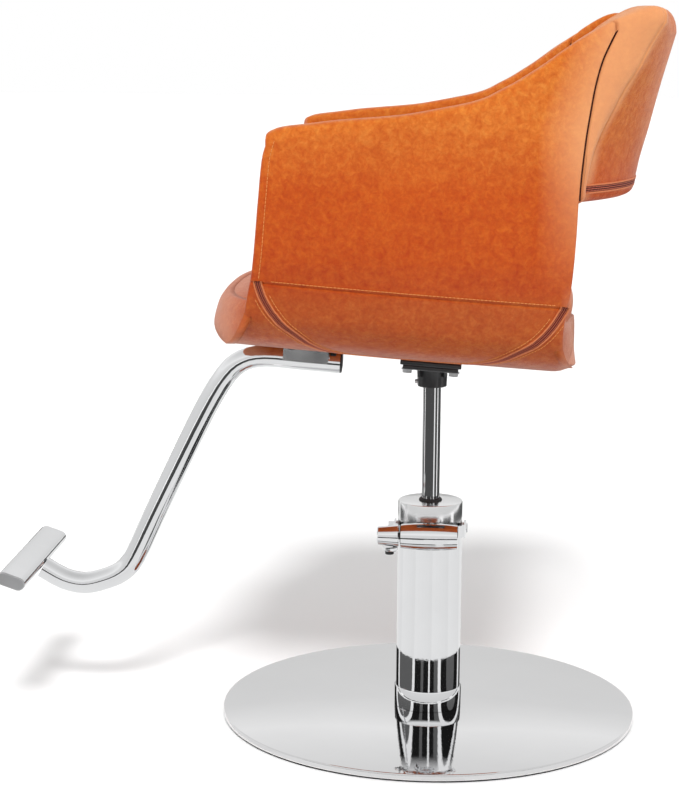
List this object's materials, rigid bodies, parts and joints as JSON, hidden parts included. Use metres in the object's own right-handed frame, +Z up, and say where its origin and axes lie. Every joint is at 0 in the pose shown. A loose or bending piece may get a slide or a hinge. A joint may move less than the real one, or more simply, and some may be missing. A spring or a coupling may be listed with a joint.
{
  "type": "salon styling chair",
  "caption": "Hydraulic salon styling chair: round polished base, pump column with foot lever, lifting and swivelling leather tub seat with an open lower back and a bent tube footrest.",
  "frame": {"origin": "on the floor, at the centre of the round base's underside, on the column's axis", "axes": "+Z up along the column, -Y is the front of the seat where the footrest is, +X is the sitter's left; the pump lever points along +X"},
  "size_m": [0.61, 0.9532, 1.034],
  "materials": {
    "stainless": "polished stainless cover with fine radial grain",
    "chrome": "mirror chrome plating",
    "satin_steel": "satin zinc or nickel plating",
    "dark_steel": "dark oiled steel",
    "black_paint": "semi-gloss black enamel",
    "rubber": "matte black rubber",
    "plywood": "bare birch plywood",
    "leather": "mottled waxed tan leather over foam, tone-on-tone stitching",
    "foam": "firm upholstery foam, hidden inside the seat"
  },
  "bodies": {
    "base": {"base_cover": "stainless", "base_plate": "dark_steel", "base_edge_pad": "rubber", "base_centre_pad": "rubber", "column_tube": "chrome", "column_foot_collar": "chrome", "pump_cylinder": "satin_steel", "rod_guide_bush": "dark_steel", "column_cap": "chrome", "rod_wiper_seal": "rubber", "lever_pivot_bolt_left": "chrome", "lever_pivot_bolt_right": "chrome", "lever_spacer_left": "satin_steel", "lever_spacer_right": "satin_steel"},
    "lift": {"lift_piston": "dark_steel"},
    "seat": {"lift_rod": "chrome", "seat_hub": "black_paint", "hub_set_screw": "satin_steel", "mounting_plate": "black_paint", "mounting_plate_rib": "black_paint", "mounting_bolt_1": "satin_steel", "mounting_bolt_2": "satin_steel", "mounting_bolt_3": "satin_steel", "mounting_bolt_4": "satin_steel", "footrest_tube": "chrome", "footrest_tube_plug": "black_paint", "footrest_bar": "chrome", "footrest_bar_cap_left": "satin_steel", "footrest_bar_cap_right": "satin_steel", "footrest_bracket": "satin_steel", "bracket_screw_1": "dark_steel", "bracket_screw_2": "dark_steel", "bracket_screw_3": "dark_steel", "bracket_screw_4": "dark_steel", "bracket_pad": "rubber", "seat_board": "plywood", "seat_core": "foam", "seat_shell": "leather", "seat_cushion": "leather", "seat_rear_roll": "leather", "arm_left": "leather", "arm_right": "leather", "back_panel": "leather"},
    "pump_lever": {"lever_yoke": "chrome", "pedal_barrel": "chrome", "pedal_knob": "chrome", "pedal_spindle": "dark_steel", "pedal_lug": "chrome", "pedal_stop": "rubber"}
  },
  "joints": [
    {"name": "height_slide", "type": "slide", "parent": "base", "child": "lift", "axis": [0, 0, 1], "range_m": [-0.135, 0.01]},
    {"name": "seat_swivel", "type": "hinge", "parent": "lift", "child": "seat", "pos_m": [0, 0, 0.493], "axis": [0, 0, 1], "continuous": true},
    {"name": "lever_pivot", "type": "hinge", "parent": "base", "child": "pump_lever", "pos_m": [0, 0, 0.282], "axis": [0, 1, 0], "range_deg": [0, 16], "stiffness_Nm_per_rad": 8, "springref_deg": -11.46}
  ]
}
